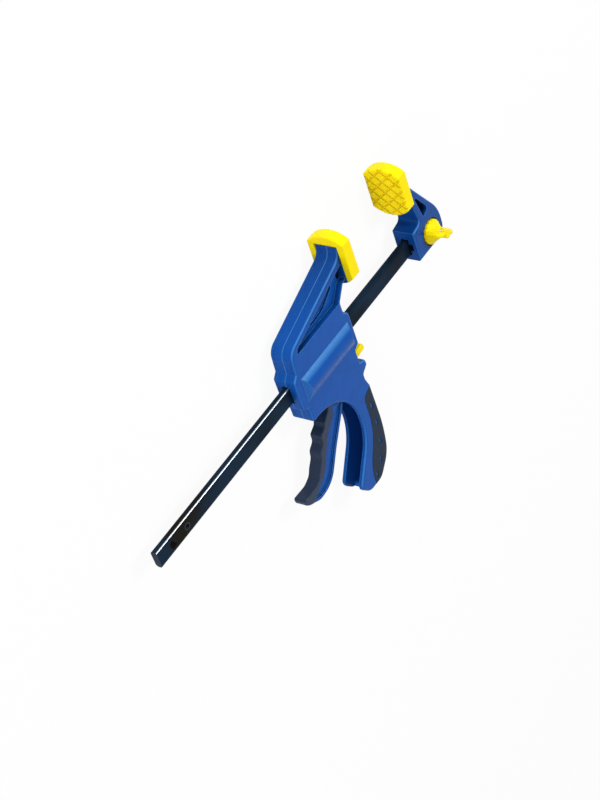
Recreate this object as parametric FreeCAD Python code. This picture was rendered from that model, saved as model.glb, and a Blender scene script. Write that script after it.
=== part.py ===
import FreeCAD, Part
import math
import os

# One-handed quick release bar clamp. All lengths are in millimetres.
# X runs along the bar towards the fixed jaw, Y from the bar towards the pads,
# and Z across the clamp, up when the clamp lies with its knob on top.
# The origin is the centre of the hanging hole in the tail of the bar.

V = FreeCAD.Vector
X_AXIS = V(1, 0, 0)
Y_AXIS = V(0, 1, 0)
Z_AXIS = V(0, 0, 1)
HALF_TURN = 180.0
OVERRUN = 5.0
FIT = 0.1
RUNNING_FIT = 0.06
TOUCH = 0.001

# Driving sizes of the clamp
opening = 59.2
jaw_reach = 48.0
body_length = 65.0
handle_drop = 114.0
half_width = 8.5
far_side = 8.3

# Bar
bar_height = 12.5
bar_thickness = 5.0
bar_span = 275.0
bar_edge_radius = 2.0
tail_hole_radius = 3.0
tail_hole_inset = 14.0
stop_spacing = 14.7
stop_radius = 1.6
stop_tip_radius = 1.1
stop_height = 0.9
dimple_depth = 1.4

# Jaw pads and the flanges they slip over
pad_half_width = 13.5
pad_half_side = 13.0
pad_crown = 5.2
pad_depth = 8.8
pad_front_wall = 3.2
pad_lip = 1.9
pad_side_wall = 2.0
pad_edge_radius = 1.1
pad_back_radius = 0.8
window_top_wall = 6.4
window_gap = 0.2
groove_width = 1.1
groove_depth = 0.9
groove_pitch = 8.5
groove_angle = 40.6
flange_lip = 1.8

# Fixed jaw
block_length = 32.4
block_half_width = 8.6
block_drop = 10.4
block_top = 12.2
block_pad_setback = 4.4
block_heel_radius = 8.4
block_edge_radius = 1.7
socket_gap = 0.35
socket_depth = 27.5
socket_cross_half_height = 5.3
socket_cross_half_width = 2.8
socket_cross_depth = 9.0
bar_end_gap = 0.4
jaw_web = 1.7
jaw_top_rise = 6.8
jaw_foot_drop = 13.1
split_half_gap = 1.8
split_depth = 3.2
split_start = 8.0
notch_depth = 3.4
notch_half_height = 4.4

# Wing knob, its screw and the bush in the fixed jaw
knob_x = 18.4
recess_radius = 9.5
recess_depth = 1.9
knob_radius = 8.5
knob_neck_radius = 2.8
knob_flank_radius = 5.6
knob_lift = 0.9
knob_rim_height = 1.9
knob_flank_height = 5.0
knob_neck_height = 8.6
knob_height = 12.7
knob_scallops = 14
scallop_radius = 0.9
scallop_offset = 0.45
wing_half_span = 10.2
wing_thickness = 3.2
wing_corner_radius = 4.4
wing_foot_radius = 1.1
wing_taper = 1.2
wing_edge_radius = 1.4
wing_clearance = 0.8
wing_shoulder = 0.5
wing_angle = 153.0
screw_radius = 3.0
screw_point = 0.6
screw_tip_gap = 0.1
bush_radius = 4.4
bush_floor = 3.2
bush_rim_radius = 5.2
bush_rim_height = 0.8

# Housing, cover and handle
front_rise = 10.9
front_drop = 11.9
nose_corner_radius = 2.0
edge_radius = 1.7
cover_thickness = 3.1
seam_bevel = 0.25
cover_top = 23.0
side_wall = 2.8
end_wall = 3.3
bar_slot_gap = 0.45
ridge_height = 3.5
ridge_half_width = 9.2
ridge_start = 6.6
ridge_end = 61.2
ridge_slope = 3.0
ridge_root = 1.0
spring_bore_radius = 8.9
spring_seat = 9.2
grip_skin = 2.6
grip_side_skin = 1.8
grip_proud = 0.15
seat_gap = 0.05
window_length = 4.4
window_width = 1.9
window_corner_radius = 0.7
window_inset = 0.3
boss_radius = 3.1
brake_boss_rise = 7.6
cover_screw_radius = 1.4
cover_screw_length = 8.6
screw_head_radius = 2.6
screw_head_height = 1.6
screw_head_gap = 0.25
screw_end_gap = 0.3
screw_recess = 0.2
drive_slot_depth = 1.0
drive_slot_width = 0.7
drive_slot_length = 3.2
rib_thickness = 1.8
pocket_depth = 4.0
heel_depth = 7.0
slot_depth = 1.6
far_web = 3.0

# Trigger
pivot_back = 37.0
pivot_drop = 24.0
trigger_half_width = 4.2
trigger_hub_radius = 6.0
trigger_pin_radius = 2.45
trigger_side_gap = 0.2
hub_land = 1.0
nose_radius = 3.0
nose_lead = 3.0
nose_drop = 12.4
trigger_rim = 2.3
trigger_recess = 1.4
recess_top = 38.0
trigger_edge_radius = 0.6
trigger_skin_proud = 0.25

# Drive plates, brake lever, release button and springs
plate_thickness = 2.4
plate_half_width = 4.8
plate_rise = 10.6
plate_drop = 14.8
plate_bar_gap = 0.25
drive_wire = 1.2
drive_coil_radius = 7.7
drive_turns = 4
spring_end_gap = 0.3
brake_inset = 11.5
brake_rise = 9.6
brake_thickness = 3.0
brake_bar_gap = 0.6
brake_tilt = 5.0
brake_wire = 0.7
brake_coil_radius = 2.4
brake_turns = 3
wire_sides = 8
brake_spring_drop = 13.2
brake_spring_room = 7.5
brake_saddle_gap = 0.35
button_drop = 25.4
button_half_width = 4.6
button_reach = 16.4
button_height = 5.5
button_gap = 0.4
button_wall = 1.7
button_slot_top = 13.2

# Places that several pieces share
pad_bottom = jaw_reach - pad_half_side - pad_crown
pad_top = jaw_reach + pad_half_side + pad_crown
jaw_top = jaw_reach + jaw_top_rise
jaw_foot = jaw_reach - jaw_foot_drop
flange_thickness = pad_depth - pad_front_wall - pad_lip - FIT * 2
flange_gap = pad_lip + FIT
far_face = -far_side
seam = cover_thickness - far_side
roof = half_width - side_wall
arm_flange_share = 1.155
sliding_pad_back = arm_flange_share * body_length - flange_gap
sliding_pad_face = sliding_pad_back + pad_depth
block_x = bar_span
fixed_pad_face = block_x - block_pad_setback
fixed_flange_back = pad_depth - flange_gap - block_pad_setback
body_x = fixed_pad_face - opening - sliding_pad_face
knob_floor = block_half_width - recess_depth
knob_low = knob_floor + knob_lift
knob_top = block_half_width + knob_height
drive_plate_face = pivot_back - nose_lead - nose_radius - FIT
drive_pack = plate_thickness * 2 + FIT
brake_back = body_length - brake_inset
brake_spring_seat = brake_back - brake_spring_room

# Outline corners: place along the body's length, place up as a share of the
# jaw's reach or down as a share of the handle's drop, and corner radius as a
# share of that same height.
arm_shares = (
    (1.175, 1.235, 0),
    (1.125, 1.235, 0),
    (1.11, 1.089, 0.167),
    (0.078, 0.635, 0.19),
    (0.057, 0.298, 0),
)
nose_shares = (
    (0.067, -0.125, 0.009),
    (0.067, -0.225, 0.019),
)
arch_shares = (
    (0.325, -0.225, 0.32),
    (0.697, -0.381, 0.3),
    (0.697, -0.655, 0.33),
    (0.358, -0.915, 0.04),
    (0.485, -0.995, 0.07),
    (0.7, -0.995, 0.085),
    (0.905, -0.892, 0.2),
    (0.968, -0.71, 0.95),
    (0.965, -0.397, 0.007),
)
heel_shares = (
    (0.935, -0.342, 0.09),
    (0.934, -0.304, 0.018),
    (1.025, -0.272, 0.019),
    (1.02, -0.236, 0.018),
    (0.935, -0.218, 0.009),
    (0.935, -0.128, 0.009),
    (1.008, -0.103, 0.016),
)
rear_shares = (
    (1.008, 0.275, 0.04),
    (0.945, 0.356, 0.02),
    (0.945, 0.517, 0.06),
    (1.07, 0.707, 0.05),
    (1.175, 0.713, 0),
)
grip_front_shares = (
    (0.965, -0.397, 0),
    (0.818, -0.432, 0.045),
    (0.811, -0.658, 0.42),
    (0.58, -0.89, 0.26),
    (0.597, -1.05, 0),
)
grip_back_shares = (
    (0.8, -1.1, 0),
    (1.1, -0.9, 0),
    (1.1, -0.397, 0),
)
cavity_upper_shares = (
    (0.951, 0.237, 0.02),
    (0.895, 0.315, 0.02),
    (0.895, 0.419, 0.03),
    (0.115, 0.419, 0.03),
    (0.115, 0.283, 0.02),
    (0.055, 0.226, 0.01),
)
cavity_lower_shares = (
    (0.118, -0.137, 0.009),
    (0.118, -0.19, 0.009),
    (0.33, -0.19, 0),
    (0.33, -0.5, 0),
    (0.3, -1.1, 0),
    (0.49, -1.1, 0),
    (0.5, -0.957, 0.01),
    (0.685, -0.957, 0.06),
    (0.79, -0.89, 0.1),
    (0.875, -0.7, 0.9),
    (0.875, -0.4, 0.05),
    (0.892, -0.38, 0.05),
    (0.892, -0.119, 0.009),
    (0.951, -0.092, 0.009),
)
pocket_shares = (
    (0.165, 0.529, 0.02),
    (0.905, 0.529, 0.03),
    (1.035, 0.729, 0.03),
    (1.115, 0.742, 0.01),
    (1.115, 0.988, 0.03),
    (0.2, 0.603, 0.04),
)
heel_pocket_shares = (
    (1.055, 0.763, 0.01),
    (1.125, 0.763, 0.01),
    (1.125, 0.975, 0.02),
    (1.055, 0.945, 0.02),
)
slot_shares = (
    (0.465, 0.586, 0.012),
    (0.72, 0.596, 0.5),
    (0.95, 0.77, 0.02),
    (0.935, 0.808, 0.015),
)
jaw_arm_shares = (
    (0.31, 0.293, 0.066),
    (0.212, 0.647, 0.05),
)
jaw_back_shares = (
    (1.0, 0.198, 0.54),
)
jaw_pocket_shares = (
    (0.31, 0.748, 0.02),
    (0.675, 0.372, 0.06),
    (0.45, 0.315, 0.03),
)
trigger_front_shares = (
    (0.36, -0.292, 0.05),
    (0.255, -0.335, 0.02),
    (0.235, -0.359, 0.03),
    (0.143, -0.385, 0.022),
    (0.142, -0.434, 0.03),
    (0.058, -0.466, 0.03),
    (0.042, -0.512, 0.045),
    (-0.028, -0.556, 0.05),
    (-0.07, -0.594, 0.05),
    (-0.165, -0.618, 0.09),
    (-0.362, -0.611, 0.013),
)
trigger_back_shares = (
    (-0.355, -0.648, 0.018),
    (-0.31, -0.671, 0.03),
    (-0.14, -0.72, 0.1),
    (0.082, -0.711, 0.17),
    (0.305, -0.546, 0.5),
    (0.59, -0.36, 0.25),
    (0.66, -0.27, 0.06),
)
trigger_skin_shares = (
    (0.43, -0.265, 0),
    (0.395, -0.345, 0.03),
    (0.26, -0.408, 0.1),
    (0.125, -0.508, 0.15),
    (0.035, -0.59, 0.1),
    (-0.19, -0.672, 0.15),
    (-0.31, -0.695, 0),
    (-0.5, -0.74, 0),
    (-0.5, -0.265, 0),
)
window_place_shares = (
    (0.889, -0.524, 92),
    (0.878, -0.648, 86),
    (0.842, -0.771, 76),
    (0.768, -0.88, 58),
    (0.642, -0.937, 80),
)
boss_place_shares = (
    (0.175, 0.359),
    (0.18, -0.15),
    (0.87, -0.342),
)


def height_of(share):
    return share * (jaw_reach if share > 0 else handle_drop)


def plan(shares):
    """Outline corners (x, y, radius) in the housing's own frame from rows of shares."""
    corners = []
    for x_share, y_share, radius_share in shares:
        scale = jaw_reach if y_share > 0 else handle_drop
        corners.append((x_share * body_length, y_share * scale, radius_share * scale))
    return corners


def jaw_plan(shares):
    return [(x * block_length, y * jaw_reach, r * jaw_reach) for x, y, r in shares]


def rounded_wire(corners):
    """A closed wire in the XY plane through (x, y, radius) corners."""
    count = len(corners)
    points = [V(x, y, 0) for x, y, _ in corners]
    ahead = [points[(i + 1) % count].sub(points[i]) for i in range(count)]
    halves = [(ahead[i - 1] * -1).getAngle(ahead[i]) / 2 for i in range(count)]
    reaches = [corner[2] / math.tan(half) for corner, half in zip(corners, halves)]
    edges = []
    stops = []
    for i in range(count):
        before = ahead[i - 1].Length / max(reaches[i - 1] + reaches[i], ahead[i - 1].Length)
        after = ahead[i].Length / max(reaches[i] + reaches[(i + 1) % count], ahead[i].Length)
        reach = reaches[i] * min(before, after)
        back_way = V(ahead[i - 1]).normalize() * -1
        front_way = V(ahead[i]).normalize()
        start = points[i] + back_way * reach
        end = points[i] + front_way * reach
        stops.append((start, end))
        if reach > 0:
            radius = reach * math.tan(halves[i])
            inward = (back_way + front_way).normalize()
            middle = points[i] + inward * (radius / math.sin(halves[i]) - radius)
            edges.append((i, Part.Arc(start, middle, end).toShape()))
    lines = []
    for i in range(count):
        start = stops[i][1]
        end = stops[(i + 1) % count][0]
        if start.distanceToPoint(end) > TOUCH:
            lines.append((i + 0.5, Part.LineSegment(start, end).toShape()))
    ordered = sorted(edges + lines, key=lambda item: item[0])
    return Part.Wire([edge for _, edge in ordered])


def slab(corners, low, high):
    """A flat piece of the outline, from one height across the clamp to another."""
    face = Part.Face(rounded_wire(corners))
    face.translate(Z_AXIS * low)
    return face.extrude(Z_AXIS * (high - low))


def box(low, high):
    size = V(*high).sub(V(*low))
    return Part.makeBox(size.x, size.y, size.z, V(*low))


def rod(centre, direction, radius, length):
    return Part.makeCylinder(radius, length, V(*centre), direction)


def moved(shape, x):
    copy = shape.copy()
    copy.translate(X_AXIS * x)
    return copy


def other_side(shape):
    return shape.mirror(V(0, 0, 0), Z_AXIS)


def edges_at(shape, height):
    """Edges that lie flat at one height across the clamp."""
    return [edge for edge in shape.Edges
            if abs(edge.BoundBox.ZMin - height) < TOUCH
            and abs(edge.BoundBox.ZMax - height) < TOUCH]


def bar():
    half_h = bar_height / 2
    half_t = bar_thickness / 2
    end = block_x + socket_depth - bar_end_gap
    corners = [(-half_h, -half_t, bar_edge_radius), (half_h, -half_t, bar_edge_radius),
               (half_h, half_t, bar_edge_radius), (-half_h, half_t, bar_edge_radius)]
    body = slab(corners, 0, end + tail_hole_inset)
    body.rotate(V(0, 0, 0), V(1, 1, 1), HALF_TURN * 2 / 3)
    body.translate(X_AXIS * -tail_hole_inset)
    body = body.cut(rod((0, 0, -OVERRUN), Z_AXIS, tail_hole_radius, OVERRUN * 2))
    dimple = Part.makeCone(0, stop_radius, dimple_depth,
                           V(stop_spacing, 0, half_t - dimple_depth), Z_AXIS)
    bump = Part.makeCone(stop_radius, stop_tip_radius, stop_height,
                         V(stop_spacing, 0, -half_t), -Z_AXIS)
    return body.cut(dimple).fuse(bump)


def arched(half, x_low, x_high):
    """A plate across the bar with straight sides and arched ends."""
    side = pad_half_side
    top = pad_half_side + pad_crown
    corners = [V(x_low, jaw_reach + side, -half), V(x_low, jaw_reach + side, half),
               V(x_low, jaw_reach - side, half), V(x_low, jaw_reach - side, -half)]
    edges = [
        Part.Arc(corners[0], V(x_low, jaw_reach + top, 0), corners[1]).toShape(),
        Part.LineSegment(corners[1], corners[2]).toShape(),
        Part.Arc(corners[2], V(x_low, jaw_reach - top, 0), corners[3]).toShape(),
        Part.LineSegment(corners[3], corners[0]).toShape(),
    ]
    return Part.Face(Part.Wire(edges)).extrude(X_AXIS * (x_high - x_low))


def below_crown(x_low, x_high, drop):
    """Everything under a level line near the top of a pad."""
    return box((x_low, pad_bottom - OVERRUN, -pad_half_width),
               (x_high, pad_top - drop, pad_half_width))


def flange(x_low):
    """The plate at the end of a jaw that its pad slips over."""
    x_high = x_low + flange_thickness
    plate = arched(pad_half_width - pad_side_wall - FIT, x_low, x_high)
    plate.translate(Y_AXIS * -flange_lip)
    return plate.common(below_crown(x_low, x_high, window_top_wall))


def grooves(face_at):
    """Two families of slanting grooves that leave raised diamonds."""
    reach = pad_half_width * 2
    rows = int(pad_half_side * 3 / groove_pitch)
    cutters = []
    for family in (-1, 1):
        for row in range(-rows, rows + 1):
            cutter = box((face_at - groove_depth, -groove_width / 2, -reach),
                         (face_at + OVERRUN, groove_width / 2, reach))
            cutter.rotate(V(0, 0, 0), X_AXIS, family * groove_angle)
            cutter.translate(Y_AXIS * (jaw_reach + row * groove_pitch))
            cutters.append(cutter)
    return Part.makeCompound(cutters)


def pad(face_at):
    """A soft cap with a grooved face towards +X, and a window in its back."""
    back = face_at - pad_depth
    body = arched(pad_half_width, back, face_at)
    rim = [edge for edge in body.Edges if edge.BoundBox.XMin > face_at - FIT]
    body = body.makeFillet(pad_edge_radius, rim)
    rim = [edge for edge in body.Edges if edge.BoundBox.XMax < back + FIT]
    body = body.makeFillet(pad_back_radius, rim)
    slot_low = back + pad_lip
    slot_high = face_at - pad_front_wall
    inner = pad_half_width - pad_side_wall
    slot = arched(inner, slot_low, slot_high)
    slot = slot.common(below_crown(slot_low, slot_high, window_top_wall - window_gap))
    mouth = box((slot_low, pad_bottom - OVERRUN, -inner), (slot_high, jaw_reach, inner))
    half = half_width + window_gap
    window = box((back - OVERRUN, pad_bottom - OVERRUN, -half),
                 (slot_low + FIT, pad_top - window_top_wall, half))
    return body.cut(slot.fuse(mouth)).cut(window).cut(grooves(face_at))


def fixed_jaw_outline():
    middle = fixed_flange_back - flange_thickness / 2
    corners = [(0, -block_drop, 0), (block_length, -block_drop, block_heel_radius)]
    corners += jaw_plan(jaw_back_shares)
    corners += [(fixed_flange_back, jaw_top, 0),
                (middle, jaw_top + fixed_flange_back - middle, 0),
                (middle, jaw_foot, 0)]
    corners += list(reversed(jaw_plan(jaw_arm_shares)))
    corners.append((0, block_top, 0))
    return corners


def bar_socket():
    """The hole for the bar, crossed by a shallower one for the bar turned round."""
    half_y = bar_height / 2 + socket_gap
    half_z = bar_thickness / 2 + socket_gap
    along = box((-OVERRUN, -half_y, -half_z), (socket_depth, half_y, half_z))
    across = box((-OVERRUN, -socket_cross_half_width, -socket_cross_half_height),
                 (socket_cross_depth, socket_cross_half_width, socket_cross_half_height))
    return along.fuse(across)


def heel_split():
    """A groove under the block that opens into a V round the heel and up the end."""
    groove = box((split_start, -block_drop - OVERRUN, -split_half_gap),
                 (block_length + OVERRUN, split_depth - block_drop, split_half_gap))
    axis = V(block_length - block_heel_radius, block_heel_radius - block_drop, 0)
    outer = block_heel_radius + FIT
    inner = block_heel_radius - notch_depth
    corners = [axis + V(0, -outer, -notch_half_height), axis + V(0, -outer, notch_half_height),
               axis + V(0, -inner, 0)]
    mouth = Part.Face(Part.makePolygon(corners + corners[:1]))
    turned = mouth.revolve(axis, Z_AXIS, HALF_TURN / 2)
    mouth.rotate(axis, Z_AXIS, HALF_TURN / 2)
    return groove.fuse([turned, mouth.extrude(Y_AXIS * (block_top + OVERRUN))])


def fixed_jaw():
    """Block, arm and pad flange of the jaw that is screwed to the end of the bar."""
    body = slab(fixed_jaw_outline(), -block_half_width, block_half_width)
    rims = edges_at(body, block_half_width) + edges_at(body, -block_half_width)
    shown = [edge for edge in rims if edge.BoundBox.XMin > fixed_flange_back - FIT
             or edge.BoundBox.YMax < jaw_foot - FIT]
    body = body.makeFillet(block_edge_radius, shown)
    body = body.fuse(flange(fixed_flange_back - flange_thickness))
    pocket = slab(jaw_plan(jaw_pocket_shares), jaw_web, block_half_width + OVERRUN)
    body = body.cut(pocket).cut(other_side(pocket))
    body = body.cut(bar_socket()).cut(heel_split())
    body = body.cut(rod((knob_x, 0, knob_floor), Z_AXIS, recess_radius, OVERRUN))
    body = body.cut(rod((knob_x, 0, 0), Z_AXIS, bush_radius, knob_floor))
    body = body.cut(rod((knob_x, 0, knob_floor - bush_rim_height), Z_AXIS,
                        bush_rim_radius, OVERRUN))
    return moved(body, block_x)


def fixed_jaw_pad():
    body = pad(0)
    body.rotate(V(0, 0, 0), Y_AXIS, HALF_TURN)
    return moved(body, fixed_pad_face)


def screw_bush():
    """Threaded bush pressed into the fixed jaw under the knob."""
    body = rod((knob_x, 0, bush_floor), Z_AXIS, bush_radius, knob_floor - bush_floor)
    body = body.fuse(rod((knob_x, 0, knob_floor - bush_rim_height), Z_AXIS,
                         bush_rim_radius, bush_rim_height))
    bore = rod((knob_x, 0, 0), Z_AXIS, screw_radius + RUNNING_FIT, block_length)
    return moved(body.removeSplitter().cut(bore), block_x)


def clamp_screw():
    tip = bar_thickness / 2 + screw_tip_gap
    shank = rod((knob_x, 0, tip), Z_AXIS, screw_radius, knob_low + knob_neck_height - tip)
    return moved(shank.makeChamfer(screw_point, shank.Edges), block_x)


def knob_dome():
    """Turned base of the knob: scalloped rim, hollow flank and neck."""
    rim = knob_low + knob_rim_height
    shoulder = V(knob_flank_radius, 0, knob_low + knob_flank_height)
    neck = V(knob_neck_radius, 0, knob_low + knob_neck_height)
    corners = [V(0, 0, knob_low), V(knob_radius, 0, knob_low), V(knob_radius, 0, rim)]
    edges = [Part.LineSegment(corners[i], corners[i + 1]).toShape() for i in range(2)]
    edges.append(Part.Arc(corners[2], shoulder, neck).toShape())
    edges.append(Part.LineSegment(neck, V(knob_neck_radius, 0, knob_top)).toShape())
    edges.append(Part.LineSegment(V(knob_neck_radius, 0, knob_top), V(0, 0, knob_top)).toShape())
    edges.append(Part.LineSegment(V(0, 0, knob_top), corners[0]).toShape())
    dome = Part.Face(Part.Wire(edges)).revolve(V(0, 0, 0), Z_AXIS, HALF_TURN * 2)
    scallops = []
    for number in range(knob_scallops):
        angle = 2 * math.pi * number / knob_scallops
        reach = knob_radius + scallop_offset
        spot = (reach * math.cos(angle), reach * math.sin(angle), 0)
        scallops.append(rod(spot, Z_AXIS, scallop_radius, knob_top))
    return dome.cut(Part.makeCompound(scallops))


def wing():
    foot = block_half_width + wing_clearance
    top = knob_top - wing_shoulder
    corners = [
        (-wing_half_span, foot, wing_foot_radius),
        (wing_half_span, foot, wing_foot_radius),
        (wing_half_span - wing_taper, top, wing_corner_radius),
        (wing_taper - wing_half_span, top, wing_corner_radius),
    ]
    plate = slab(corners, -wing_thickness / 2, wing_thickness / 2)
    plate = plate.makeFillet(wing_edge_radius, edges_at(plate, wing_thickness / 2)
                             + edges_at(plate, -wing_thickness / 2))
    plate.rotate(V(0, 0, 0), X_AXIS, HALF_TURN / 2)
    return plate


def wing_knob():
    body = knob_dome().fuse(wing()).removeSplitter()
    body.rotate(V(0, 0, 0), Z_AXIS, wing_angle)
    body = body.cut(rod((0, 0, 0), Z_AXIS, screw_radius, knob_low + knob_neck_height))
    return moved(body, block_x + knob_x)


def housing_corners():
    front = [(0, front_rise, nose_corner_radius), (0, -front_drop, nose_corner_radius)]
    lower = plan(nose_shares) + plan(arch_shares) + plan(heel_shares)
    return plan(arm_shares) + front + lower + plan(rear_shares)


def ridge():
    """The long rounded ridge over the bar, on the near face, with sloping ends."""
    half = ridge_half_width
    radius = (half * half + ridge_height * ridge_height) / (2 * ridge_height)
    centre = half_width + ridge_height - radius
    body = rod((ridge_start, 0, centre), X_AXIS, radius, ridge_end - ridge_start)
    body = body.common(box((0, -half, half_width - ridge_root),
                           (ridge_end, half, half_width + ridge_height)))
    crest = half_width + ridge_height
    for x, way in ((ridge_start, 1), (ridge_end, -1)):
        corners = [V(x, -half, half_width), V(x + way * ridge_slope, -half, crest + FIT),
                   V(x - way * ridge_slope, -half, crest + FIT),
                   V(x - way * ridge_slope, -half, half_width)]
        face = Part.Face(Part.makePolygon(corners + corners[:1]))
        body = body.cut(face.extrude(Y_AXIS * half * 2))
    return body


def far_ridge():
    """The same ridge on the cover."""
    body = other_side(ridge())
    body.translate(Z_AXIS * (half_width - far_side))
    return body


def spring_bore():
    return rod((spring_seat, 0, 0), X_AXIS, spring_bore_radius, drive_plate_face - spring_seat)


def cover_zone(low, high):
    """The part of the plan that the cover takes up."""
    return box((-body_length, -handle_drop * 2, low), (body_length * 2, cover_top, high))


def windows(low, high, shrink):
    pieces = []
    for x_share, y_share, angle in window_place_shares:
        half_l = window_length / 2 - shrink
        half_w = window_width / 2 - shrink
        corners = [(-half_l, -half_w, window_corner_radius),
                   (half_l, -half_w, window_corner_radius),
                   (half_l, half_w, window_corner_radius),
                   (-half_l, half_w, window_corner_radius)]
        piece = slab(corners, low, high)
        piece.rotate(V(0, 0, 0), Z_AXIS, angle)
        piece.translate(V(x_share * body_length, height_of(y_share), 0))
        pieces.append(piece)
    return Part.makeCompound(pieces)


def grip_space(outer, gap):
    """What the soft skin takes off the handle: everything round a smaller core."""
    zone = slab(plan(grip_front_shares + grip_back_shares),
                far_face - OVERRUN, half_width + OVERRUN)
    inner = Part.Face(rounded_wire(housing_corners()).makeOffset2D(gap - grip_skin))
    inner.translate(Z_AXIS * (far_face + grip_side_skin - gap))
    core = inner.extrude(Z_AXIS * (half_width + far_side - (grip_side_skin - gap) * 2))
    return outer.common(zone).cut(core)


def rim_rounded(body, heights):
    """The body with its rims rounded, but for the end that the pad slips over."""
    rims = [edge for height in heights for edge in edges_at(body, height)
            if edge.BoundBox.XMax < arm_flange_share * body_length]
    return body.makeFillet(edge_radius, rims)


def handle_grip():
    outer = slab(housing_corners(), far_face - grip_proud, half_width + grip_proud)
    outer = rim_rounded(outer, (far_face - grip_proud, half_width + grip_proud))
    body = grip_space(outer, 0)
    body = body.cut(windows(far_face - OVERRUN, half_width + OVERRUN, 0))
    return moved(body, body_x)


def grip_cut():
    """The space left for the skin in the housing and the cover."""
    outer = slab(housing_corners(), far_face - OVERRUN, half_width + OVERRUN)
    return grip_space(outer, -seat_gap)


def bar_slot():
    half_y = bar_height / 2 + bar_slot_gap
    half_z = bar_thickness / 2 + bar_slot_gap
    return box((-OVERRUN, -half_y, -half_z), (body_length + OVERRUN, half_y, half_z))


def button_slot():
    """The opening in the rear wall that the release button moves in."""
    half = button_half_width + button_gap
    return box((brake_back, -button_drop - button_gap, -half),
               (body_length + OVERRUN, -button_slot_top, half))


def cavity(low, high):
    front = [(end_wall, front_rise - FIT, 0), (end_wall, -front_drop, 0)]
    corners = plan(cavity_upper_shares) + front + plan(cavity_lower_shares)
    return slab(corners, low, high)


def boss_spots():
    spots = [(x_share * body_length, height_of(y_share)) for x_share, y_share in boss_place_shares]
    return spots + [(brake_back, brake_rise + brake_boss_rise)]


def pockets():
    """Cored recesses in both sides of the jaw arm."""
    high = half_width + OVERRUN
    floor = half_width - pocket_depth
    near = slab(plan(pocket_shares), floor, high)
    near = near.fuse(slab(plan(slot_shares), floor - slot_depth, high))
    near = near.fuse(slab(plan(heel_pocket_shares), half_width - heel_depth, high))
    far = slab(plan(pocket_shares), far_face - OVERRUN, floor - slot_depth - far_web)
    return near.fuse(far)


def inner_walls():
    """Bosses and small walls that stand inside the housing."""
    walls = [rod((x, y, seam), Z_AXIS, boss_radius, roof - seam) for x, y in boss_spots()]
    hub = trigger_half_width + trigger_side_gap
    walls.append(rod((pivot_back, -pivot_drop, hub), Z_AXIS,
                     trigger_hub_radius - hub_land, roof - hub))
    half = brake_thickness / 2 + brake_saddle_gap
    top = height_of(cavity_upper_shares[1][1])
    for x in (brake_back - half - rib_thickness, brake_back + half):
        walls.append(box((x, brake_rise - rib_thickness, seam), (x + rib_thickness, top, roof)))
    reach = brake_coil_radius * 2
    walls.append(box((brake_spring_seat - rib_thickness, -brake_spring_drop - reach, seam),
                     (brake_spring_seat, reach - brake_spring_drop, roof)))
    return walls


def housing():
    """Main moulding: jaw arm, mechanism box and handle in one."""
    body = rim_rounded(slab(housing_corners(), far_face, half_width), (far_face, half_width))
    solid = body.copy()
    body = body.cut(cover_zone(far_face - OVERRUN, seam))
    body = body.fuse([ridge(), flange(sliding_pad_back + flange_gap)])
    body = body.cut(cavity(seam - OVERRUN, roof))
    body = body.cut(spring_bore().common(cover_zone(seam, half_width * 2)))
    body = body.fuse([wall.common(solid) for wall in inner_walls()])
    cutters = [bar_slot(), button_slot(), pockets(), grip_cut()]
    cutters.append(rod((pivot_back, -pivot_drop, seam), Z_AXIS, trigger_pin_radius, roof - seam))
    for x, y in boss_spots():
        cutters.append(rod((x, y, seam - FIT), Z_AXIS, cover_screw_radius, cover_screw_length))
    body = body.cut(cutters)
    bumps = windows(half_width - grip_side_skin - FIT, half_width - window_inset, FIT)
    return moved(body.fuse(bumps).removeSplitter(), body_x)


def side_cover():
    """The plate that closes the housing and the far side of the handle."""
    body = rim_rounded(slab(housing_corners(), far_face, half_width), (far_face,))
    body = body.common(cover_zone(far_face - OVERRUN, seam))
    body = body.makeChamfer(seam_bevel, edges_at(body, seam))
    body = body.fuse(far_ridge())
    hub = -trigger_half_width - trigger_side_gap
    body = body.fuse(rod((pivot_back, -pivot_drop, seam - FIT), Z_AXIS,
                         trigger_hub_radius - hub_land, hub - seam + FIT))
    cutters = [spring_bore(), grip_cut()]
    cutters.append(rod((pivot_back, -pivot_drop, seam - rib_thickness), Z_AXIS,
                       trigger_pin_radius, OVERRUN))
    for x, y in boss_spots():
        cutters.append(rod((x, y, far_face - OVERRUN), Z_AXIS, cover_screw_radius + FIT,
                           OVERRUN * 2))
        cutters.append(rod((x, y, far_face - OVERRUN), Z_AXIS,
                           screw_head_radius + screw_head_gap,
                           OVERRUN + screw_recess + screw_head_height))
    body = body.cut(cutters)
    bumps = windows(far_face + window_inset, far_face + grip_side_skin + FIT, FIT)
    return moved(body.fuse(bumps).removeSplitter(), body_x)


def cover_screws():
    """Cross-slotted screws that hold the cover, one at each boss."""
    screws = []
    low = far_face + screw_recess
    for x, y in boss_spots():
        head = rod((x, y, low), Z_AXIS, screw_head_radius, screw_head_height)
        shank = rod((x, y, low), Z_AXIS, cover_screw_radius,
                    seam - low + cover_screw_length - screw_end_gap)
        screw = head.fuse(shank).removeSplitter()
        for half_x, half_y in ((drive_slot_length / 2, drive_slot_width / 2),
                               (drive_slot_width / 2, drive_slot_length / 2)):
            screw = screw.cut(box((x - half_x, y - half_y, low - FIT),
                                  (x + half_x, y + half_y, low + drive_slot_depth)))
        screws.append(screw)
    return moved(Part.makeCompound(screws), body_x)


def sliding_jaw_pad():
    return moved(pad(sliding_pad_face), body_x)


def trigger_pin():
    low = seam - rib_thickness + FIT
    pin = rod((pivot_back, -pivot_drop, low), Z_AXIS, trigger_pin_radius, roof - FIT - low)
    return moved(pin, body_x)


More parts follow.
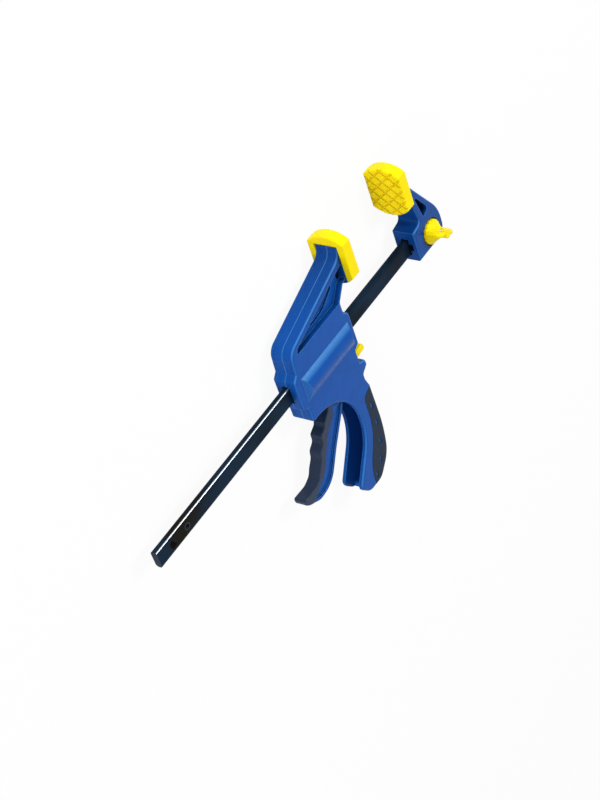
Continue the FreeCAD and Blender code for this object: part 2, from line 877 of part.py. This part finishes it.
def trigger_corners():
    """Hub and nose at the top, finger waves down the front, smooth back."""
    nose = nose_radius
    x = pivot_back - nose_lead
    top = nose - nose_drop
    upper = [
        (pivot_back + trigger_hub_radius, trigger_hub_radius - pivot_drop, trigger_hub_radius),
        (x + nose, top, nose),
        (x - nose, top, nose),
        (pivot_back - trigger_hub_radius, trigger_hub_radius - pivot_drop, nose),
    ]
    return upper + plan(trigger_front_shares) + plan(trigger_back_shares)


def trigger():
    """The lever: hub, nose that pushes the plates, and a rimmed blade."""
    half = trigger_half_width
    body = slab(trigger_corners(), -half, half)
    body = body.makeFillet(trigger_edge_radius, edges_at(body, half) + edges_at(body, -half))
    body = body.cut(slab(plan(trigger_skin_shares), -half, half))
    body = body.cut(rod((pivot_back, -pivot_drop, -half), Z_AXIS,
                        trigger_pin_radius + RUNNING_FIT, half * 2))
    blade = Part.Face(rounded_wire(trigger_corners()).makeOffset2D(-trigger_rim))
    blade.translate(Z_AXIS * (half - trigger_recess))
    recess = blade.extrude(Z_AXIS * (trigger_recess + OVERRUN))
    recess = recess.common(box((-body_length, -handle_drop, 0),
                               (body_length, -recess_top, half_width * 2)))
    body = body.cut(recess).cut(other_side(recess))
    return moved(body, body_x)


def trigger_grip():
    """Soft facing on the front and tip of the trigger."""
    half = trigger_half_width + trigger_skin_proud
    body = slab(trigger_corners(), -half, half)
    body = body.makeFillet(trigger_edge_radius, edges_at(body, half) + edges_at(body, -half))
    body = body.common(slab(plan(trigger_skin_shares), -half, half))
    return moved(body, body_x)


def drive_plate(number):
    high = drive_plate_face - number * (plate_thickness + FIT)
    body = box((high - plate_thickness, -plate_drop, -plate_half_width),
               (high, plate_rise, plate_half_width))
    half_y = bar_height / 2 + plate_bar_gap
    half_z = bar_thickness / 2 + plate_bar_gap
    body = body.cut(box((0, -half_y, -half_z), (body_length, half_y, half_z)))
    return moved(body, body_x)


def tangent_arc(start, corner, end):
    """The arc that leaves start towards the corner and reaches end from it."""
    centre = (start + end) * 0.5
    half = corner.sub(start).getAngle(end.sub(start))
    share = math.tan(half / 2) / math.tan(half)
    return Part.Arc(start, centre + corner.sub(centre) * share, end).toShape()


def biarc(start, start_way, end, end_way):
    """Two arcs that join two points along the given headings."""
    chord = end.sub(start)
    a = 2 * (start_way.dot(end_way) - 1)
    b = -2 * chord.dot(start_way + end_way)
    c = chord.dot(chord)
    reach = (-b - math.sqrt(b * b - 4 * a * c)) / (2 * a)
    first = start + start_way * reach
    second = end - end_way * reach
    middle = (first + second) * 0.5
    return [tangent_arc(start, first, middle), tangent_arc(middle, second, end)]


def coil(radius, wire, length, turns):
    """An open coil along X, as one unbroken tube on arcs of a quarter turn."""
    steps = turns * 4
    rise = (length - wire) / steps
    points = []
    ways = []
    for step in range(steps + 1):
        angle = math.pi / 2 * step
        points.append(V(wire / 2 + rise * step, radius * math.cos(angle),
                        radius * math.sin(angle)))
        ways.append(V(rise * 2 / math.pi, -radius * math.sin(angle),
                      radius * math.cos(angle)).normalize())
    edges = []
    for step in range(steps):
        edges += biarc(points[step], ways[step], points[step + 1], ways[step + 1])
    path = Part.Wire(edges)
    out = Y_AXIS * (wire / 2)
    side = ways[0].cross(Y_AXIS) * (wire / 2)
    turns_round = [math.pi * 2 * number / wire_sides for number in range(wire_sides)]
    ring = [points[0] + out * math.cos(turn) + side * math.sin(turn) for turn in turns_round]
    shell = Part.BRepOffsetAPI.MakePipeShell(path)
    shell.add(Part.makePolygon(ring + ring[:1]))
    shell.build()
    shell.makeSolid()
    print("coil gap", round(rise * 4 - wire, 2), "volume ratio",
          round(shell.shape().Volume / (math.pi * wire * wire / 4 * path.Length), 4))
    return shell.shape()


def drive_spring():
    low = spring_seat + spring_end_gap
    high = drive_plate_face - drive_pack - spring_end_gap
    return moved(coil(drive_coil_radius, drive_wire, high - low, drive_turns), body_x + low)


def brake_face_at(y):
    """Front face of the leaning brake lever at a height."""
    lean = math.radians(brake_tilt)
    return brake_back + (brake_rise - y) * math.tan(lean) - brake_thickness / 2 / math.cos(lean)


def brake_spring():
    low = brake_spring_seat + spring_end_gap
    high = brake_face_at(brake_coil_radius - brake_spring_drop) - spring_end_gap
    body = coil(brake_coil_radius, brake_wire, high - low, brake_turns)
    body.translate(V(body_x + low, -brake_spring_drop, 0))
    return body


def leaned(shape):
    """Put a piece drawn upright about the brake's pivot into its leaning place."""
    shape.rotate(V(0, 0, 0), Z_AXIS, brake_tilt)
    shape.translate(V(body_x + brake_back, brake_rise, 0))
    return shape


def brake_lever():
    """Steel plate, hung at its top end, that locks on the bar while it leans."""
    half = brake_thickness / 2
    low = button_wall - button_drop - brake_rise
    body = box((-half, low, -plate_half_width), (half, 0, plate_half_width))
    body = body.fuse(rod((0, 0, -plate_half_width), Z_AXIS, half, plate_half_width * 2))
    half_y = bar_height / 2 + brake_bar_gap
    half_z = bar_thickness / 2 + plate_bar_gap
    body = body.cut(box((-OVERRUN, -brake_rise - half_y, -half_z),
                        (OVERRUN, half_y - brake_rise, half_z)))
    neck = button_half_width - button_wall
    shoulder = button_height - button_drop - brake_rise + button_gap
    for side in (-1, 1):
        low_z, high_z = sorted((side * neck, side * plate_half_width))
        body = body.cut(box((-OVERRUN, low - OVERRUN, low_z), (OVERRUN, shoulder, high_z)))
    return leaned(body)


def release_button():
    """Thumb tab that caps the lower end of the brake lever."""
    half = brake_thickness / 2
    low = -button_drop - brake_rise
    high = low + button_height
    corners = [
        (-half - button_wall, low, button_wall / 2),
        (button_reach, low, button_height / 3),
        (button_reach, high - button_wall / 2, button_height / 3),
        (-half - button_wall, high, button_wall / 2),
    ]
    body = slab(corners, -button_half_width, button_half_width)
    body = body.makeFillet(button_wall / 2, edges_at(body, button_half_width)
                           + edges_at(body, -button_half_width))
    neck = button_half_width - button_wall
    seat = box((-half, low + button_wall, -neck), (half, high + OVERRUN, neck))
    return leaned(body.cut(seat))


def main():
    os.makedirs("parts", exist_ok=True)
    nodes = {
        "bar": bar(),
        "fixed_jaw": fixed_jaw(),
        "fixed_jaw_pad": fixed_jaw_pad(),
        "screw_bush": screw_bush(),
        "clamp_screw": clamp_screw(),
        "wing_knob": wing_knob(),
        "housing": housing(),
        "side_cover": side_cover(),
        "cover_screws": cover_screws(),
        "handle_grip": handle_grip(),
        "sliding_jaw_pad": sliding_jaw_pad(),
        "trigger_pin": trigger_pin(),
        "trigger": trigger(),
        "trigger_grip": trigger_grip(),
        "drive_plate_rear": drive_plate(0),
        "drive_plate_front": drive_plate(1),
        "drive_spring": drive_spring(),
        "brake_lever": brake_lever(),
        "release_button": release_button(),
        "brake_spring": brake_spring(),
    }
    for name, shape in nodes.items():
        shape.exportStep("parts/" + name + ".step")
        print(name, "solids", len(shape.Solids), "volume", round(shape.Volume, 1),
              "valid", shape.isValid())


main()
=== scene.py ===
import math

import bpy
from mathutils import Matrix, Vector


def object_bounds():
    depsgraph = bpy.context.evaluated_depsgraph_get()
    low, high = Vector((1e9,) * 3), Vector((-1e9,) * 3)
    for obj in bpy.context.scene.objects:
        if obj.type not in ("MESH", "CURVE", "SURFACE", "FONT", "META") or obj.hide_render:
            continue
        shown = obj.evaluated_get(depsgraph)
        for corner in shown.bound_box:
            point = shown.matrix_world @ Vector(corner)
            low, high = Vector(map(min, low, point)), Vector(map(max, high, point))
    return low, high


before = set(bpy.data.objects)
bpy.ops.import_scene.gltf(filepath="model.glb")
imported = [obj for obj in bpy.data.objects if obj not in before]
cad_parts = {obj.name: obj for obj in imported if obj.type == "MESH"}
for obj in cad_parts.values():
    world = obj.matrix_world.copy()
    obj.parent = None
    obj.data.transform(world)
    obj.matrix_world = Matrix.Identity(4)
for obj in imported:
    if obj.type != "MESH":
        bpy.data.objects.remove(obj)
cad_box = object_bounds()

# Lengths are in metres, in the clamp's own frame: X along the bar to the fixed
# jaw, Y from the bar to the pads, Z out of the side that carries the wing knob.
MM = 0.001

# Colours, linear
WHITE = (1.0, 1.0, 1.0)
FLOOR_WHITE = (0.93, 0.93, 0.93)
BLUE = (0.0045, 0.078, 0.375)
DEEP_BLUE = (0.003, 0.046, 0.24)
# Painted shade in the nylon's crevices
SHADE_NAVY = (0.002, 0.02, 0.075)
# Painted highlight and wear on the nylon's edges, slants and mould line
HIGHLIGHT_AND_WEAR_BLUE = (0.1, 0.33, 0.68)
BLUE_GLOSS = (0.35, 0.8, 1.0, 1.0)
YELLOW = (0.97, 0.78, 0.001)
DEEP_YELLOW = (0.95, 0.7, 0.001)
# Painted shade in the yellow's grooves
SHADE_YELLOW = (0.95, 0.6, 0.001)
RUBBER = (0.006, 0.016, 0.036)
BLUE_RUBBER = (0.006, 0.018, 0.052)
PALE_RUBBER = (0.02, 0.042, 0.075)
OXIDE = (0.001, 0.004, 0.009)
BLUED_OXIDE = (0.004, 0.017, 0.038)
SHADE_BROWN_OXIDE = (0.007, 0.005, 0.001)
# Wear on the bar, and painted highlight on the ring round its stop
WORN_AND_HIGHLIGHT_OXIDE = (0.04, 0.055, 0.075)
# Painted highlight on the bar's corners
HIGHLIGHT_STEEL = (0.3, 0.33, 0.36)
STEEL = (0.42, 0.43, 0.45)
ZINC = (0.58, 0.59, 0.61)
BRASS = (0.66, 0.46, 0.19)
RUST_TINT = (0.2, 0.13, 0.08)

# Places on the clamp
MOULD_LINE_Z = 1.0 * MM
COVER_SEAM_Z = -5.2 * MM
ARM_ROOT_Y = 26 * MM
ARM_END_Y = 56 * MM
STOP_PLACE = (14.7 * MM, 0.0, 2.5 * MM)
STOP_RADIUS = 1.5 * MM

# Camera, solved from the straight edges of the clamp in the photo
CAMERA_PLACE = (-0.54098, 0.7955, 0.7139)
CAMERA_RIGHT = (0.526, -0.271, 0.806)
CAMERA_AHEAD = (0.533, -0.634, -0.561)
CAMERA_LENS = 92.63
CAMERA_SENSOR = 36.0

# Light. A lamp's level is how bright a white face square on to it renders.
AMBIENT_LEVEL = 0.42
LAMP_DISTANCE = 1.3
LAMPS = {
    "key": {"way": (0.4, 0.45, 0.8), "side": 0.3, "level": 0.5, "mirrored": True},
    "fill": {"way": (-0.9, 0.1, 0.35), "side": 0.5, "level": 0.38, "mirrored": False},
    "top": {"way": (0.1, 1.0, 0.2), "side": 0.4, "level": 0.25, "mirrored": False},
}
FLOOR_GLOW_SHARE = 0.93
FLOOR_GAP = 0.1 * MM
FLOOR_HALF = 6.0


class Wire:
    """A value in a material's node tree, so that shader sums read as sums."""

    def __init__(self, finish, socket):
        self.finish = finish
        self.socket = socket

    def math(self, operation, *others):
        values = dict(enumerate((self, *others)))
        return self.finish.node("Math", values, operation=operation)

    def __add__(self, other):
        return self.math("ADD", other)

    def __sub__(self, other):
        return self.math("SUBTRACT", other)

    def __rsub__(self, other):
        return self.finish.node("Math", {0: other, 1: self}, operation="SUBTRACT")

    def __mul__(self, other):
        return self.math("MULTIPLY", other)

    def __pow__(self, other):
        return self.math("POWER", other)

    def __abs__(self):
        return self.math("ABSOLUTE")

    __radd__ = __add__
    __rmul__ = __mul__

    def between(self, low, high):
        """0 at low and 1 at high, or the other way round, smooth in between."""
        values = {"Value": self, "From Min": low, "From Max": high}
        return self.finish.node("MapRange", values, interpolation_type="SMOOTHSTEP")


class Finish:
    """A material under construction, on one Principled shader."""

    def __init__(self, name, **constants):
        self.material = bpy.data.materials.new(name)
        self.material.use_nodes = True
        self.tree = self.material.node_tree
        self.shader = self.tree.nodes["Principled BSDF"]
        self.place = self.node("TexCoord", output="Object")
        self.set(**constants)

    def node(self, kind, values=None, output=0, **settings):
        made = self.tree.nodes.new("ShaderNode" + kind)
        for name, value in settings.items():
            setattr(made, name, value)
        for socket, value in (values or {}).items():
            self.feed(made.inputs[socket], value)
        return Wire(self, made.outputs[output])

    def feed(self, socket, value):
        if isinstance(value, Wire):
            self.tree.links.new(value.socket, socket)
        elif isinstance(value, tuple) and len(value) == 3 and socket.type == "RGBA":
            socket.default_value = (*value, 1)
        else:
            socket.default_value = value

    def set(self, **values):
        for socket, value in values.items():
            self.feed(self.shader.inputs[socket.replace("_", " ")], value)

    def axis(self, vector, name):
        return self.node("SeparateXYZ", {0: vector}, output=name)

    def facing(self):
        return self.node("NewGeometry", output="Normal")

    def mix(self, share, first, second):
        values = {"Factor": share, 6: first, 7: second}
        return self.node("Mix", values, output=2, data_type="RGBA")

    def noise(self, size, detail=3.0, roughness=0.5, stretch=(1, 1, 1)):
        """Cloudy noise from 0 to 1, with patches of about that size in metres."""
        spot = self.place
        if stretch != (1, 1, 1):
            squeeze = tuple(1 / s for s in stretch)
            spot = self.node("VectorMath", {0: spot, 1: squeeze}, operation="MULTIPLY")
        values = {"Vector": spot, "Scale": 1 / size, "Detail": detail,
                  "Roughness": roughness}
        return self.node("TexNoise", values)

    def rounded(self, radius):
        """The surface's direction, with its edges rounded by that radius."""
        return self.node("Bevel", {"Radius": radius}, samples=6)

    def edges(self, radius):
        """1 on outside and inside edges of the mesh, 0 on its open faces."""
        true = self.node("NewGeometry", output="True Normal")
        same = self.node("VectorMath", {0: self.rounded(radius), 1: true},
                         output="Value", operation="DOT_PRODUCT")
        return same.between(0.995, 0.9)

    def shade_in_crevices(self, reach):
        """A mask for painted shade: 1 deep in grooves and corners narrower than that
        reach, 0 in the open.
        """
        values = {"Distance": reach, "Color": WHITE}
        open_sky = self.node("AmbientOcclusion", values, output="AO", samples=8)
        return open_sky.between(0.85, 0.35)

    def bump(self, height, depth, round_edges):
        """A surface relief of that depth in metres, over edges rounded by a radius."""
        values = {"Height": height, "Distance": depth, "Strength": 1.0,
                  "Normal": self.rounded(round_edges)}
        self.set(Normal=self.node("Bump", values))


def painted_slant_highlight(finish):
    """Painted highlight: pale, speckled, on the slanted faces between a flat side and an
    edge, stronger on faces turned up the Y axis.
    """
    facing = finish.facing()
    toward_z = abs(finish.axis(facing, "Z"))
    slant = toward_z * (1.0 - toward_z * toward_z) ** 0.5
    lit_upward = finish.axis(facing, "Y").between(-0.4, 0.6) * 0.8 + 0.2
    speckle = finish.noise(0.7 * MM, detail=4.0, roughness=0.7, stretch=(1.5, 1, 1))
    return slant.between(0.3, 0.47) * lit_upward * (0.2 + speckle * 1.2)


def nylon(name, depth, mould_line=None, seam=None):
    """Blue glass-filled nylon: satin, faintly mottled, with painted highlight and wear
    paler on its edges and slanted faces, and painted shade in its crevices.

    depth(finish) is the share of the deeper blue. mould_line and seam are the
    heights along Z of the raised line of the mould and of the gap at the cover.
    """
    finish = Finish(name, Specular_IOR_Level=0.15, Specular_Tint=BLUE_GLOSS)
    flow = finish.noise(9 * MM, detail=4.0)
    grain = finish.noise(0.28 * MM, detail=2.0)
    scuffs = finish.noise(0.5 * MM, stretch=(9, 1.4, 1.4)).between(0.62, 0.74)
    # Painted highlight and wear: edges paler, in patches
    rubbed_and_highlight = finish.edges(0.5 * MM) * finish.noise(2.2 * MM).between(0.2, 0.5)
    pale = rubbed_and_highlight * 0.6 + painted_slant_highlight(finish) * 0.48 + scuffs * 0.03
    deep = flow.between(0.3, 0.7) * 0.2 + depth(finish)
    colour = finish.mix(deep, BLUE, DEEP_BLUE)
    # Painted shade: crevices and corners darkened towards navy
    colour = finish.mix(finish.shade_in_crevices(8 * MM) * 0.75, colour, SHADE_NAVY)
    # Painted highlight and wear: edges and slanted faces turned paler blue
    colour = finish.mix(pale, colour, HIGHLIGHT_AND_WEAR_BLUE)
    height = grain * 0.6 + flow * 0.4
    if mould_line is not None:
        on_edge = abs(finish.axis(finish.facing(), "Z")).between(0.35, 0.1)
        away = abs(finish.axis(finish.place, "Z") - mould_line)
        line = away.between(0.36 * MM, 0.12 * MM) * on_edge
        line = line * (0.5 + finish.noise(0.9 * MM))
        # Painted highlight along the raised mould line, which the bump also raises
        colour = finish.mix(line * 0.5, colour, HIGHLIGHT_AND_WEAR_BLUE)
        height = height + line * 1.5
    if seam is not None:
        away = abs(finish.axis(finish.place, "Z") - seam)
        gap = away.between(0.2 * MM, 0.1 * MM)
        colour = finish.mix(gap * 0.75, colour, DEEP_BLUE)
        height = height - gap * 4.0
    finish.set(Base_Color=colour, Roughness=0.2 + flow * 0.08 + scuffs * 0.1)
    finish.bump(height, depth=0.035 * MM, round_edges=0.5 * MM)
    return finish.material


def painted_shade_up_the_arm(finish):
    """Painted shade: the housing's blue deepens up the sliding jaw's arm, towards its pad.
    """
    return finish.axis(finish.place, "Y").between(ARM_ROOT_Y, ARM_END_Y) * 0.8


def soft_yellow(name, gloss):
    """Yellow moulded plastic with a fine grain, with painted shade turning its grooves
    deeper orange.
    """
    finish = Finish(name, IOR=1.46, Specular_IOR_Level=0.12)
    flow = finish.noise(7 * MM)
    grain = finish.noise(0.35 * MM, detail=2.0)
    colour = finish.mix(flow.between(0.35, 0.7) * 0.3, YELLOW, DEEP_YELLOW)
    # Painted shade: grooves and corners turned deeper orange
    colour = finish.mix(finish.shade_in_crevices(1.5 * MM) * 0.4, colour, SHADE_YELLOW)
    finish.set(Base_Color=colour, Roughness=gloss + flow * 0.12)
    finish.bump(grain * 0.7 + flow * 0.3, depth=0.03 * MM, round_edges=0.9 * MM)
    return finish.material


def rubber(name, skin, gloss, shine):
    """Blue-black soft skin with a fine grain and a few pale scuffs."""
    finish = Finish(name, Specular_IOR_Level=shine)
    flow = finish.noise(6 * MM, detail=4.0)
    grain = finish.noise(0.22 * MM, detail=2.0)
    scuffs = finish.noise(0.8 * MM, stretch=(2, 7, 2)).between(0.6, 0.75)
    pale = finish.edges(0.4 * MM) * 0.4 + scuffs * 0.25 + flow * 0.2
    finish.set(Base_Color=finish.mix(pale, skin, PALE_RUBBER),
               Roughness=gloss + flow * 0.12 + grain * 0.05)
    finish.bump(grain + flow, depth=0.05 * MM, round_edges=0.6 * MM)
    return finish.material


def oxide_bar(name):
    """Black oxide steel, drawn lengthwise: painted shade brown at the tail, blued at its
    end, a painted highlight along the corners behind the housing and ringed round the
    stop, and painted shade in the stop's hollow."""
    finish = Finish(name, IOR=1.5, Specular_IOR_Level=0.035)
    drawn = finish.noise(0.3 * MM, detail=3.0, stretch=(60, 1, 1))
    flow = finish.noise(16 * MM, detail=2.0, stretch=(2.5, 1, 1))
    rub = finish.noise(1.2 * MM, detail=4.0, stretch=(14, 1, 1)).between(0.6, 0.75)

    x = finish.axis(finish.place, "X")
    # Painted shade: the bar darkens to brown towards its tail
    shaded_tail = (x + flow * (30 * MM)).between(62 * MM, 24 * MM)
    end = x.between(4 * MM, -8 * MM)
    colour = finish.mix(flow.between(0.25, 0.6), OXIDE, BLUED_OXIDE)
    colour = finish.mix(shaded_tail, colour, SHADE_BROWN_OXIDE)
    colour = finish.mix(end, colour, BLUED_OXIDE)
    colour = finish.mix(rub * 0.15 + drawn * 0.05, colour, WORN_AND_HIGHLIGHT_OXIDE)

    # Painted highlight: corners behind the housing paled and partly metallic
    facing = finish.facing()
    off_middle = abs(finish.axis(finish.place, "Y")).between(3.2 * MM, 4.2 * MM)
    corner = abs(finish.axis(facing, "Y") * finish.axis(facing, "Z")).between(0.42, 0.49)
    rubbed_and_highlight = corner * x.between(200 * MM, 130 * MM) * off_middle
    colour = finish.mix(rubbed_and_highlight, colour, HIGHLIGHT_STEEL)
    sawn = finish.axis(facing, "X").between(-0.75, -0.95)
    colour = finish.mix(sawn * (0.4 + rub * 0.4), colour, WORN_AND_HIGHLIGHT_OXIDE)

    # Painted highlight on a ring round the stop, painted shade in its hollow
    from_stop = finish.node("VectorMath", {0: finish.place, 1: STOP_PLACE},
                            output="Value", operation="DISTANCE")
    inner_rim = from_stop.between(STOP_RADIUS, STOP_RADIUS + 0.5 * MM)
    outer_rim = from_stop.between(STOP_RADIUS + 1.2 * MM, STOP_RADIUS + 0.7 * MM)
    colour = finish.mix(outer_rim * inner_rim * 0.8, colour, WORN_AND_HIGHLIGHT_OXIDE)
    shaded_hollow = from_stop.between(STOP_RADIUS + 0.3 * MM, STOP_RADIUS - 0.2 * MM)
    colour = finish.mix(shaded_hollow, colour, OXIDE)

    finish.set(Base_Color=colour, Metallic=rubbed_and_highlight * 0.6,
               Roughness=0.22 + drawn * 0.08 + flow * 0.05)
    finish.bump(drawn * 0.7 + flow * 0.3, depth=0.012 * MM, round_edges=0.3 * MM)
    return finish.material


def bare_metal(name, colour, tint, dull, stretch=(1, 1, 1)):
    """Plain or plated metal with fine tool marks and slight tarnish."""
    finish = Finish(name, Metallic=1.0)
    marks = finish.noise(0.16 * MM, detail=2.0, stretch=stretch)
    tarnish = finish.noise(1.6 * MM, detail=4.0).between(0.5, 0.75)
    finish.set(Base_Color=finish.mix(tarnish * 0.3, colour, tint),
               Roughness=dull + marks * 0.15 + tarnish * 0.12)
    finish.bump(marks, depth=0.012 * MM, round_edges=0.15 * MM)
    return finish.material


def pale_floor(name):
    """A near-white floor that keeps a soft shadow."""
    finish = Finish(name, Roughness=0.9, Specular_IOR_Level=0.1, Base_Color=FLOOR_WHITE)
    glow = finish.node("Emission", {"Color": WHITE, "Strength": 1.0})
    seen = finish.node("LightPath", output="Is Camera Ray")
    lit = Wire(finish, finish.shader.outputs[0])
    mixed = finish.node("MixShader", {0: seen * FLOOR_GLOW_SHARE, 1: lit, 2: glow})
    finish.feed(finish.tree.nodes["Material Output"].inputs["Surface"], mixed)
    return finish.material


def paint(materials):
    for node, material in materials.items():
        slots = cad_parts[node].data.materials
        slots.clear()
        slots.append(material)


def place_in_scene(thing):
    bpy.context.scene.collection.objects.link(thing)


def lit_world():
    """White where it is seen directly or in a reflection, dimmer as light."""
    world = bpy.data.worlds.new("studio")
    bpy.context.scene.world = world
    world.use_nodes = True
    tree = world.node_tree
    rays = tree.nodes.new("ShaderNodeLightPath")
    seen = rays.outputs["Is Camera Ray"]
    for output in ("Is Glossy Ray", "Is Transmission Ray"):
        larger = tree.nodes.new("ShaderNodeMath")
        larger.operation = "MAXIMUM"
        tree.links.new(seen, larger.inputs[0])
        tree.links.new(rays.outputs[output], larger.inputs[1])
        seen = larger.outputs[0]
    level = tree.nodes.new("ShaderNodeMapRange")
    level.inputs["To Min"].default_value = AMBIENT_LEVEL
    level.inputs["To Max"].default_value = 1.0
    tree.links.new(seen, level.inputs["Value"])
    back = tree.nodes["Background"]
    back.inputs["Color"].default_value = (*WHITE, 1)
    tree.links.new(level.outputs[0], back.inputs["Strength"])


def lamp(name, way, side, level, mirrored):
    """A square soft box over the clamp, which gloss shows only where mirrored."""
    middle = (cad_box[0] + cad_box[1]) / 2
    direction = Vector(way).normalized()
    light = bpy.data.lights.new(name, "AREA")
    light.size = side
    light.energy = level * math.pi ** 2 * LAMP_DISTANCE ** 2
    holder = bpy.data.objects.new(name, light)
    holder.location = middle + direction * LAMP_DISTANCE
    holder.rotation_mode = "QUATERNION"
    holder.rotation_quaternion = direction.to_track_quat("Z", "Y")
    holder.visible_glossy = mirrored
    place_in_scene(holder)


def photo_camera():
    data = bpy.data.cameras.new("camera")
    data.lens = CAMERA_LENS
    data.sensor_width = CAMERA_SENSOR
    data.clip_start = 0.05
    data.clip_end = 20.0
    camera = bpy.data.objects.new("camera", data)
    right = Vector(CAMERA_RIGHT).normalized()
    ahead = Vector(CAMERA_AHEAD).normalized()
    up = right.cross(ahead).normalized()
    right = ahead.cross(up)
    camera.matrix_world = Matrix((right, up, -ahead)).transposed().to_4x4()
    camera.location = CAMERA_PLACE
    place_in_scene(camera)
    bpy.context.scene.camera = camera


def floor():
    low = cad_box[0].z - FLOOR_GAP
    ways = ((-1, -1), (1, -1), (1, 1), (-1, 1))
    corners = [(x * FLOOR_HALF, y * FLOOR_HALF, low) for x, y in ways]
    mesh = bpy.data.meshes.new("floor")
    mesh.from_pydata(corners, [], [(0, 1, 2, 3)])
    mesh.materials.append(pale_floor("floor_white"))
    plane = bpy.data.objects.new("floor", mesh)
    place_in_scene(plane)


bpy.context.scene.view_settings.view_transform = "Standard"
photo_camera()
lit_world()
for name, values in LAMPS.items():
    lamp(name, **values)
floor()

housing_blue = nylon("housing_nylon", painted_shade_up_the_arm, MOULD_LINE_Z, COVER_SEAM_Z)
# Painted shade: the fixed jaw is a darker copy of the housing's nylon
shaded_jaw_blue = nylon("jaw_nylon", lambda finish: 0.65)
trigger_blue = nylon("trigger_nylon", lambda finish: 0.3)
grip = rubber("grip_rubber", RUBBER, gloss=0.4, shine=0.14)
trigger_skin = rubber("trigger_rubber", BLUE_RUBBER, gloss=0.2, shine=0.26)
pads = soft_yellow("pad_yellow", gloss=0.42)
knobs = soft_yellow("knob_yellow", gloss=0.3)
zinc = bare_metal("zinc_plate", ZINC, STEEL, dull=0.25)
brass = bare_metal("bush_brass", BRASS, RUST_TINT, dull=0.25, stretch=(1, 1, 8))
plain = bare_metal("plain_steel", STEEL, RUST_TINT, dull=0.3, stretch=(1, 12, 1))
wire = bare_metal("spring_wire", STEEL, RUST_TINT, dull=0.22, stretch=(6, 1, 1))
paint({
    "bar": oxide_bar("bar_oxide"),
    "fixed_jaw": shaded_jaw_blue,
    "fixed_jaw_pad": pads,
    "screw_bush": brass,
    "clamp_screw": zinc,
    "wing_knob": knobs,
    "housing": housing_blue,
    "side_cover": housing_blue,
    "cover_screws": zinc,
    "handle_grip": grip,
    "sliding_jaw_pad": pads,
    "trigger_pin": zinc,
    "trigger": trigger_blue,
    "trigger_grip": trigger_skin,
    "drive_plate_rear": plain,
    "drive_plate_front": plain,
    "drive_spring": wire,
    "brake_lever": plain,
    "release_button": knobs,
    "brake_spring": wire,
})
